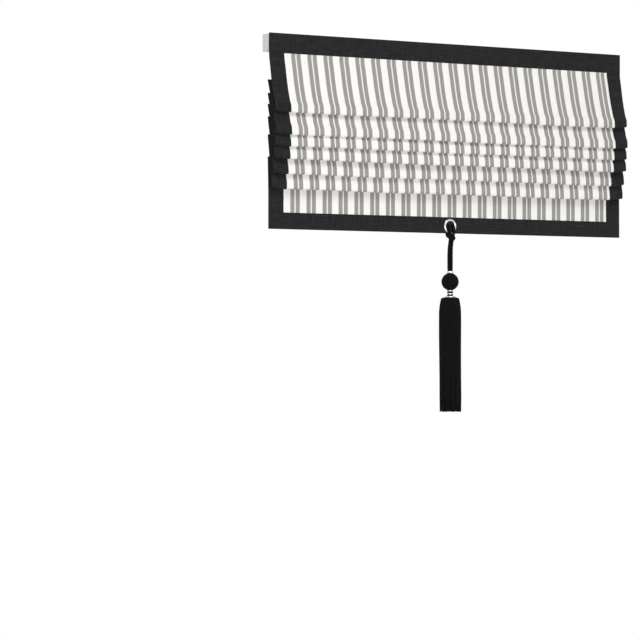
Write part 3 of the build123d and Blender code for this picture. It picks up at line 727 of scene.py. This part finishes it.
def addTunnel(name, outline, inner, half, body, ripple):  # a cloth tunnel along x, open at its ends
    places = np.linspace(-half, half, 61)
    rng = np.random.default_rng(len(name) + int(abs(outline[0][1]) * 10))
    swell = 1 + ripple * np.interp(places, np.linspace(-half, half, 25), rng.uniform(-1, 1, 25))
    swell = np.minimum(swell, 1.0)
    centre = outline.mean(0)
    outside = np.array([[(x, *(centre + (p - centre) * k)) for p in outline] for x, k in zip(places, swell)])
    inside = np.array([[(x, *p) for p in inner] for x in places])
    count = outline.shape[0]
    loop = np.concatenate([outside, inside[::-1]])
    lengths = np.linspace(0, 1, count, endpoint=False) * 2 * pi * 3
    uvs = np.stack([loop[:, :, 0], np.broadcast_to(lengths, loop.shape[:2])], -1) * mm
    grid = np.arange(loop.shape[0] * count).reshape(loop.shape[0], count)
    after = np.roll(grid, -1, axis=0)
    faces = np.stack([grid, np.roll(grid, -1, 1), np.roll(after, -1, 1), after], -1).reshape(-1, 4)
    mesh = bpy.data.meshes.new(name)
    mesh.from_pydata((loop.reshape(-1, 3) * mm).tolist(), [], faces.tolist())
    piece = addPiece(name, closeMesh(mesh, uvs.reshape(-1, 2)), liningCloth)
    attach(piece, body)
    return piece


for k in range(6):
    pocketZ = topZ - (clothShape["tipDrop"][k] - clothShape["pocketRise"][k]) * foldZone
    angles = np.linspace(0, 2 * pi, 24, endpoint=False)
    ring = np.stack([np.cos(angles), np.sin(angles)], -1)
    span = np.arccos(rodPocket["outer"] / rodPocket["seams"][k])
    near = np.minimum(np.abs(angles - rodPocket["seamTurn"]), span)
    outline = ring * (rodPocket["outer"] / np.cos(span - near))[:, None] + (rodPocket["y"], pocketZ)
    inner = ring * (rodPocket["outer"] - rodPocket["wall"]) + (rodPocket["y"], pocketZ)
    body = f"rod_{k + 1}" if k < 5 else "bottom"
    addTunnel(f"rodPocket{k + 1}", outline, inner, rodPocket["half"], body, rodPocket["ripple"])


def roundedBox(deep, high, corner, y, z):
    points = []
    for sy, sz, turn in ((1, 1, 0), (-1, 1, 1), (-1, -1, 2), (1, -1, 3)):
        for angle in np.linspace(turn * pi / 2, (turn + 1) * pi / 2, 6):
            points.append((y + sy * (deep / 2 - corner) + corner * cos(angle),
                           z + sz * (high / 2 - corner) + corner * sin(angle)))
    return np.array(points)


b = barPocket
barOutline = roundedBox(b["deep"], b["high"], b["corner"], b["y"], b["z"])
barInner = roundedBox(b["deep"] - 2 * b["wall"], b["high"] - 2 * b["wall"], b["corner"] - b["wall"], b["y"], b["z"])
addTunnel("barPocket", barOutline, barInner, clothShape["liningHalf"], "bottom", 0.0)
print("pockets sewn")


# lift tapes

liftTape = {"places": {"left": -390.0, "centre": 0.0, "right": 390.0}, "width": 8.6, "thickness": 0.2,
            "line": [(-24.75, -2.2), (-24.0, -4.4), (-22.9, -6.3), (-19.7, -10.7), (-16.6, -15.0), (-16.15, -16.0),
                     (-16.0, -17.4)], "hang": -16.0, "end": -369.1}
woundTape = {"y": -14.5, "barrel": 5.9, "outer": 9.95, "layer": 0.17, "turns": 22}
for side, place in liftTape["places"].items():
    line = np.array(liftTape["line"] + [(liftTape["hang"], z) for z in np.linspace(-30, liftTape["end"], 60)])
    steps = np.gradient(line, axis=0)
    steps /= np.linalg.norm(steps, axis=1)[:, None]
    behind = line + np.stack([-steps[:, 1], steps[:, 0]], -1) * liftTape["thickness"]
    across = np.linspace(-liftTape["width"] / 2, liftTape["width"] / 2, 7) + place
    near = np.array([[(x, *p) for x in across] for p in line])
    far = np.array([[(x, *p) for x in across] for p in behind])
    run = np.concatenate([[0], np.cumsum(np.linalg.norm(np.diff(line, axis=0), axis=1))])
    uvs = np.stack([near[:, :, 0], np.repeat(-run[:, None], 7, 1)], -1) * mm
    name = "liftTape" + side.capitalize()
    tape = addPiece(name, shellMesh(name, near * mm, far * mm, uvs), tapeCloth)
    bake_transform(tape)
    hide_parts(f"lift_tape_{side}")
    spin = np.linspace(0, 2 * pi * woundTape["turns"], woundTape["turns"] * 32 + 1)
    outer = np.linspace(woundTape["barrel"], woundTape["outer"], len(spin))
    inner = outer - woundTape["layer"]
    across = np.linspace(-liftTape["width"] / 2, liftTape["width"] / 2, 3) + place
    near, far = [np.array([[(x, woundTape["y"] + r * cos(a), r * sin(a)) for x in across] for a, r in zip(spin, radii)])
                 for radii in (outer, inner)]
    uvs = np.stack([near[:, :, 0], np.repeat((spin * outer)[:, None], 3, 1)], -1) * mm
    name = "tapeCoil" + side.capitalize()
    coil = addPiece(name, shellMesh(name, far * mm, near * mm, uvs), tapeCloth)
    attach(coil, "shaft")
    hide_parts(f"tape_coil_{side}")
print("lift tapes hung")


# tassel

tasselShape = {"y": -27.65, "cordRadius": 3.5, "lobes": 3, "pitch": 15.0, "lobeDepth": 0.45,
               "ballZ": -542.55, "ballRadius": 20.6, "ballSeat": 19.548, "windings": 13, "windDepth": 1.1,
               "skirtTop": -580.1, "skirtEnd": -851.0, "skirtRadius": 26.8,
               "strands": (66, 54, 38), "strandRadius": 1.6, "layerStep": 3.0}
s = tasselShape
y = s["y"]
frontY, backY = -34.1, -21.2  # the cord in front of and behind the hem
halfRoute = [
    (2.7, y, -517.0), (3.0, y, -506.0), (3.0, y, -484.0), (3.0, y - 0.4, -467.0),  # a leg, up from the collar
    (3.0, y - 2.6, -453.0), (3.3, frontY + 1.6, -446.0), (4.6, frontY + 0.2, -436.0),
    (6.6, frontY, -427.0), (7.0, frontY, -418.0), (5.6, frontY + 1.2, -410.2),  # in front of the ring
    (5.0, y, -408.0), (5.0, backY - 1.0, -410.6), (5.2, backY, -419.0), (5.4, backY, -428.0),  # through and behind it
    (6.0, y + 3.0, -434.4), (7.4, -31.0, -435.8), (6.2, -36.4, -438.4), (2.8, -39.6, -442.0),  # round both legs
]
legTurn = [1.3, 1.4, 1.4, 1.0, 0.4] + [0.0] * (len(halfRoute) - 5)  # the two legs lie a little round each other
cordRoute = [(-x, depth + turn, z) for (x, depth, z), turn in zip(halfRoute, legTurn)]
cordRoute += [(x, depth - turn, z) for (x, depth, z), turn in zip(halfRoute, legTurn)][::-1]


def splinePoints(name, route, resolution):
    curve = bpy.data.curves.new(name, "CURVE")
    curve.dimensions = "3D"
    spline = curve.splines.new("NURBS")
    spline.points.add(len(route) - 1)
    for point, place in zip(spline.points, route):
        point.co = (*(c * mm for c in place), 1.0)
    spline.order_u = 3
    spline.use_endpoint_u = True
    spline.resolution_u = resolution
    holder = bpy.data.objects.new(name, curve)
    scene.collection.objects.link(holder)
    bpy.context.view_layer.update()
    line = bpy.data.meshes.new_from_object(holder.evaluated_get(bpy.context.evaluated_depsgraph_get()))
    points = np.array([v.co for v in line.vertices]) / mm
    bpy.data.objects.remove(holder)
    bpy.data.meshes.remove(line)
    return points


cordLine = splinePoints("cordRoute", cordRoute, 10)
steps, sides, ups = pathFrames(cordLine)
cordRun = np.concatenate([[0], np.cumsum(np.linalg.norm(np.diff(cordLine, axis=0), axis=1))])
angles = np.linspace(0, 2 * pi, 21, endpoint=False)
rings, uvs = [], []
for centre, side, up, run in zip(cordLine, sides, ups, cordRun):
    spin = angles * s["lobes"] / 2 - pi * s["lobes"] / 2 * run / s["pitch"]
    radius = s["cordRadius"] - s["lobeDepth"] * (1 - np.abs(np.cos(spin)))
    rings.append(centre + radius[:, None] * (np.cos(angles)[:, None] * side + np.sin(angles)[:, None] * up))
    uvs.append(np.stack([angles / (2 * pi), np.full(21, run * mm)], -1))
cordMesh = ringMesh("tasselCord", np.array(rings)[:, ::-1] * mm, np.array(uvs)[:, ::-1])
tasselCord = addPiece("tasselCord", cordMesh, cordYarn)
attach(tasselCord, "tassel_loop")
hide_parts("tassel_cord")
print("tassel cord hitched, mm:", round(float(cordRun[-1]), 1))

# ball wound with cord
rows, columns = 90, 132
latitude = np.linspace(-1, 1, rows) * asin(s["ballSeat"] / s["ballRadius"])
turnAt = np.log(np.tan(pi / 4 + latitude / 2))
rings, uvs = [], []
for lat, climb in zip(latitude, turnAt):
    angles = np.linspace(0, 2 * pi, columns, endpoint=False)
    ridge = np.abs(np.sin(s["windings"] * (angles + 1.15 * climb)))
    radius = s["ballRadius"] - s["windDepth"] * (1 - ridge) ** 2 * cos(lat) ** 0.5
    level = radius * cos(lat)
    rings.append(np.stack([level * np.cos(angles), y + level * np.sin(angles), s["ballZ"] + radius * sin(lat)], -1))
    uvs.append(np.stack([angles / (2 * pi) * 3, np.full(columns, lat * s["ballRadius"] * mm)], -1))
ballMesh = ringMesh("tasselBall", np.array(rings) * mm, np.array(uvs))
tasselBall = addPiece("tasselBall", ballMesh, cordYarn)
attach(tasselBall, "tassel")
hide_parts("tassel_ball")

# black thread wound round the waist of the neck, between its beads
neckThread = {"lows": (-569.6, -575.6), "highs": (-565.8, -572.8), "radius": 7.1, "pitch": 0.9, "depth": 0.28}
n = neckThread
for k, (low, high) in enumerate(zip(n["lows"], n["highs"])):
    heights = np.linspace(low, high, 40)
    angles = np.linspace(0, 2 * pi, 48, endpoint=False)
    wound = n["radius"] - n["depth"] * (1 - np.abs(np.sin(pi * (heights[:, None] / n["pitch"] + angles / (2 * pi)))))
    rings = np.stack([wound * np.cos(angles), y + wound * np.sin(angles), np.repeat(heights[:, None], 48, 1)], -1)
    uvs = np.stack([np.tile(angles / (2 * pi), (40, 1)), np.repeat(heights[:, None] * mm, 48, 1)], -1)
    thread = addPiece(f"neckThread{k + 1}", ringMesh(f"neckThread{k + 1}", rings * mm, uvs), cordYarn)
    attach(thread, "tassel")

# skirt of hanging strands over a core
drops = np.array([0.0, 1.2, 3.0, 6.0, 10.0, 15.0, 22.0, 33.0, 55.0, 90.0, 140.0, 190.0, 235.0, 271.0])
spread = np.array([0.66, 0.75, 0.79, 0.82, 0.85, 0.885, 0.92, 0.955, 0.965, 0.96, 0.95, 0.945, 0.945, 0.94])
rng = np.random.default_rng(19)
pointsAll, facesAll, uvAll = [], [], []
around = np.linspace(0, 2 * pi, 6, endpoint=False)
widest = s["skirtRadius"] - s["strandRadius"]
wobble = np.interp(drops, [0, 30, 271], [0, 0.25, 1.0])
for layer, count in enumerate(s["strands"]):
    for i in range(count):
        angle = 2 * pi * (i + 0.5 * layer + rng.uniform(-0.12, 0.12)) / count
        out = widest - s["layerStep"] * layer + rng.uniform(-1.0, 0.0)
        end = s["skirtEnd"] + abs(rng.normal(0, 3.0)) + (rng.uniform(0, 7) if rng.random() < 0.2 else 0)
        sway, phase = rng.uniform(-0.05, 0.05), rng.uniform(0, 2 * pi)
        depth = drops * (s["skirtTop"] - end) / drops[-1] + 0.9 * layer * (drops < 2)
        bearing = angle + sway * wobble * np.sin(drops / 60.0 + phase) * 1.6
        drift = 0.4 * np.sin(drops / 42.0 + phase) + 0.6 * np.sin(drops / 75.0 + 3 * angle)
        radius = np.clip(spread * out / spread.max() + wobble * drift, 0, widest)
        height = np.maximum(s["skirtTop"] - s["strandRadius"] * 0.9 - depth, s["skirtEnd"])
        line = np.stack([radius * np.cos(bearing), y + radius * np.sin(bearing), height], -1)
        steps, sides, ups = pathFrames(line)
        run = np.concatenate([[0], np.cumsum(np.linalg.norm(np.diff(line, axis=0), axis=1))])
        base = sum(len(p) for p in pointsAll)
        turns = [np.cos(around)[:, None] * a + np.sin(around)[:, None] * u for a, u in zip(sides, ups)]
        rings = line[:, None] + s["strandRadius"] * np.array(turns)
        rings[-1] = line[-1] + (rings[-1] - line[-1]) * 0.6
        grid = np.arange(rings.shape[0] * 6).reshape(-1, 6) + base
        turned = np.roll(grid, -1, axis=1)
        facesAll += np.stack([grid[:-1], grid[1:], turned[1:], turned[:-1]], -1).reshape(-1, 4).tolist()
        facesAll += [grid[0].tolist(), grid[-1][::-1].tolist()]
        pointsAll.append(rings.reshape(-1, 3))
        uvAll.append(np.stack([np.tile(around / (2 * pi), rings.shape[0]), np.repeat(run * mm, 6)], -1))
mesh = bpy.data.meshes.new("tasselSkirt")
mesh.from_pydata((np.concatenate(pointsAll) * mm).tolist(), [], facesAll)
tasselSkirt = addPiece("tasselSkirt", closeMesh(mesh, np.concatenate(uvAll), 80), skirtYarn)
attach(tasselSkirt, "tassel")
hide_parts("tassel_skirt")

coreDrops = np.array([0.3, 1.5, 4.0, 9.0, 16.0, 33.0, 90.0, 180.0, 255.0])
coreRadius = np.array([13.0, 15.5, 17.0, 18.5, 19.5, 20.5, 20.5, 20.0, 19.0])
angles = np.linspace(0, 2 * pi, 36, endpoint=False)
rings = np.array([[(r * cos(a), y + r * sin(a), s["skirtTop"] - d) for a in angles]
                  for d, r in zip(coreDrops, coreRadius)])
uvs = np.array([[(a / (2 * pi) * 30, d * mm) for a in angles] for d in coreDrops])
skirtCore = addPiece("skirtCore", ringMesh("skirtCore", rings[:, ::-1] * mm, uvs[:, ::-1]), skirtYarn)
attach(skirtCore, "tassel")
print("tassel made")


# stage, lights and camera

stageLook = {"floorZ": -2.0, "floorSize": 400.0, "ambient": 0.40, "key": 184.0, "fill": 46.0,
             "aim": (0, 0, -0.3), "fade": (1.2, 3.4), "nearGlow": 0.75}


def seenDirectly(tree):  # rays that show the ground itself, straight or in metal and glass
    rays = addNode(tree, "ShaderNodeLightPath")
    mirrored = calc(tree, "MAXIMUM", rays.outputs["Is Glossy Ray"], rays.outputs["Is Transmission Ray"])
    return calc(tree, "MAXIMUM", rays.outputs["Is Camera Ray"], mirrored)


def makeFloor():
    material, tree, shader = newMaterial("paleFloor", Roughness=0.9, Specular_IOR_Level=0.1)
    grain = placeGroup(tree, surfaceGrain, solidMap(tree), Scale=60.0, Drift=0.01)
    tree.links.new(tinted(tree, (0.93, 0.93, 0.925, 1), grain.outputs["Tone"]), shader.inputs["Base Color"])
    glow = addNode(tree, "ShaderNodeEmission")
    mixed = addNode(tree, "ShaderNodeMixShader")
    away = addNode(tree, "ShaderNodeVectorMath", operation="LENGTH")
    tree.links.new(solidMap(tree), away.inputs[0])
    far = smoothMask(tree, away.outputs["Value"], *stageLook["fade"])
    near = stageLook["nearGlow"]
    share = calc(tree, "ADD", near, calc(tree, "MULTIPLY", far, 1 - near))  # the floor goes white away from the shadow
    tree.links.new(calc(tree, "MULTIPLY", seenDirectly(tree), share), mixed.inputs[0])
    tree.links.new(shader.outputs[0], mixed.inputs[1])
    tree.links.new(glow.outputs[0], mixed.inputs[2])
    tree.links.new(mixed.outputs[0], tree.nodes["Material Output"].inputs[0])
    return material


half = stageLook["floorSize"] / 2
floorMesh = bpy.data.meshes.new("floor")
floorMesh.from_pydata([(-half, -half, 0), (half, -half, 0), (half, half, 0), (-half, half, 0)], [], [(0, 1, 2, 3)])
floorMesh.materials.append(makeFloor())
floor = bpy.data.objects.new("floor", floorMesh)
floor.location.z = stageLook["floorZ"]
scene.collection.objects.link(floor)

world = bpy.data.worlds.new("studio")
scene.world = world
world.use_nodes = True
tree = world.node_tree
tree.nodes.clear()
sky = addNode(tree, "ShaderNodeBackground")
sky.inputs["Color"].default_value = (1, 1, 1, 1)
tree.links.new(calc(tree, "MAXIMUM", seenDirectly(tree), stageLook["ambient"]), sky.inputs["Strength"])
tree.links.new(sky.outputs[0], addNode(tree, "ShaderNodeOutputWorld").inputs[0])


def addLamp(name, place, target, size, power):
    lamp = bpy.data.lights.new(name, "AREA")
    lamp.shape, lamp.size, lamp.energy = "DISK", size, power
    holder = bpy.data.objects.new(name, lamp)
    holder.location = place
    holder.rotation_euler = (Vector(target) - Vector(place)).to_track_quat("-Z", "Y").to_euler()
    scene.collection.objects.link(holder)


addLamp("keyLamp", (-2.2, -3.6, 4.6), stageLook["aim"], 3.2, stageLook["key"])
addLamp("fillLamp", (-0.8, -3.6, -1.3), stageLook["aim"], 2.0, stageLook["fill"])

viewCamera = bpy.data.cameras.new("photoCamera")
viewCamera.lens, viewCamera.sensor_width, viewCamera.clip_end = 170.02, 36.0, 500.0
cameraHolder = bpy.data.objects.new("photoCamera", viewCamera)
cameraHolder.location = (-3.9909, -5.9971, -0.7258)
cameraHolder.rotation_euler = (radians(90.738), 0.0, radians(-31.3))
scene.collection.objects.link(cameraHolder)
scene.camera = cameraHolder
print("stage lit")
